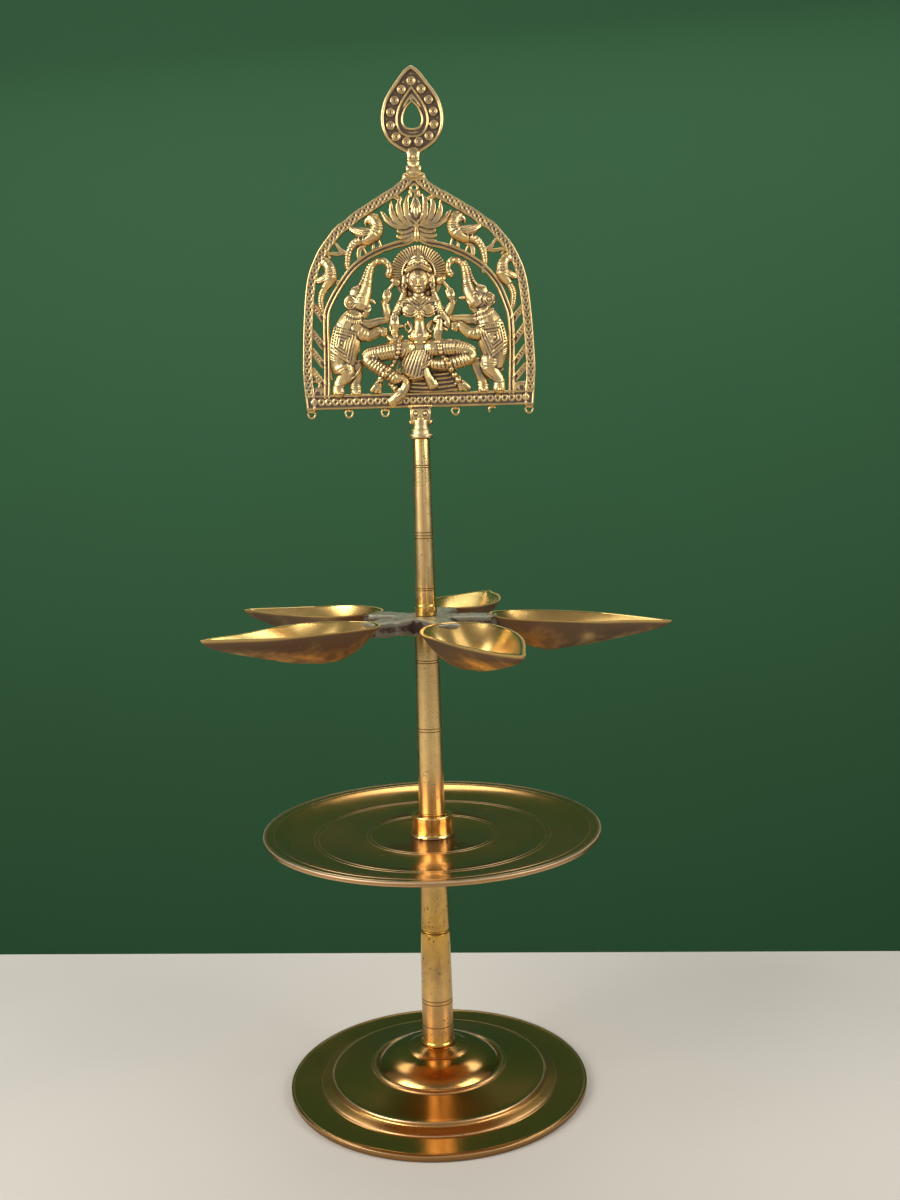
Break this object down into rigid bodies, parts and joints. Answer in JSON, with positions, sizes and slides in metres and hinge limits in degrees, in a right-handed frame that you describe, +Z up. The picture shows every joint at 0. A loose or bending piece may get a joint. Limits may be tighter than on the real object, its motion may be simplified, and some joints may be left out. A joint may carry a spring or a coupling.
{
  "type": "kamakshi lamp",
  "caption": "Tall turned brass oil lamp: stepped foot, drip tray, star of leaf-shaped oil bowls, and a pierced arched relief panel under a leaf finial.",
  "frame": {"origin": "middle of the foot on the surface it stands on", "axes": "+Z up along the stems, -Y towards the front of the relief panel, +X to the right as seen from the front"},
  "size_m": [0.4063, 0.424, 0.9141],
  "materials": {
    "turned_brass": "satin turned",
    "polished_brass": "polished, darkened",
    "cast_brass": "cast, with dark patina in the recesses",
    "bowl_brass": "satin",
    "rough_casting": "rough as cast"
  },
  "bodies": {
    "foot": {"base_foot": "polished_brass"},
    "lower_column": {"lower_stem": "turned_brass"},
    "tray_tier": {"tray": "polished_brass", "tray_collar": "turned_brass"},
    "middle_column": {"middle_stem": "turned_brass"},
    "star_tier": {"star_hub": "rough_casting", "lamp_bowl_1": "bowl_brass", "lamp_bowl_2": "bowl_brass", "lamp_bowl_3": "bowl_brass", "lamp_bowl_4": "bowl_brass", "lamp_bowl_5": "bowl_brass"},
    "upper_column": {"upper_stem": "turned_brass"},
    "crown": {"relief_panel": "cast_brass", "leaf_finial": "cast_brass"}
  },
  "joints": [
    {"name": "lower_stem_rise", "type": "slide", "parent": "foot", "child": "lower_column", "axis": [0, 0, 1], "range_m": [0, 0.0151]},
    {"name": "tray_turn", "type": "hinge", "parent": "lower_column", "child": "tray_tier", "pos_m": [0, 0, 0.239], "axis": [0, 0, 1], "range_deg": [0, 2160]},
    {"name": "middle_stem_rise", "type": "slide", "parent": "tray_tier", "child": "middle_column", "axis": [0, 0, 1], "range_m": [0, 0.0151]},
    {"name": "star_turn", "type": "hinge", "parent": "middle_column", "child": "star_tier", "pos_m": [0, 0, 0.427], "axis": [0, 0, 1], "range_deg": [0, 2160]},
    {"name": "upper_stem_rise", "type": "slide", "parent": "star_tier", "child": "upper_column", "axis": [0, 0, 1], "range_m": [0, 0.0151]},
    {"name": "crown_turn", "type": "hinge", "parent": "upper_column", "child": "crown", "pos_m": [0, 0, 0.6], "axis": [0, 0, 1], "range_deg": [0, 2160]}
  ],
  "couplings": [
    {"joint": "lower_stem_rise", "follows": "tray_turn", "m_per_rad": 0.00039789},
    {"joint": "middle_stem_rise", "follows": "star_turn", "m_per_rad": 0.00039789},
    {"joint": "upper_stem_rise", "follows": "crown_turn", "m_per_rad": 0.00039789}
  ]
}
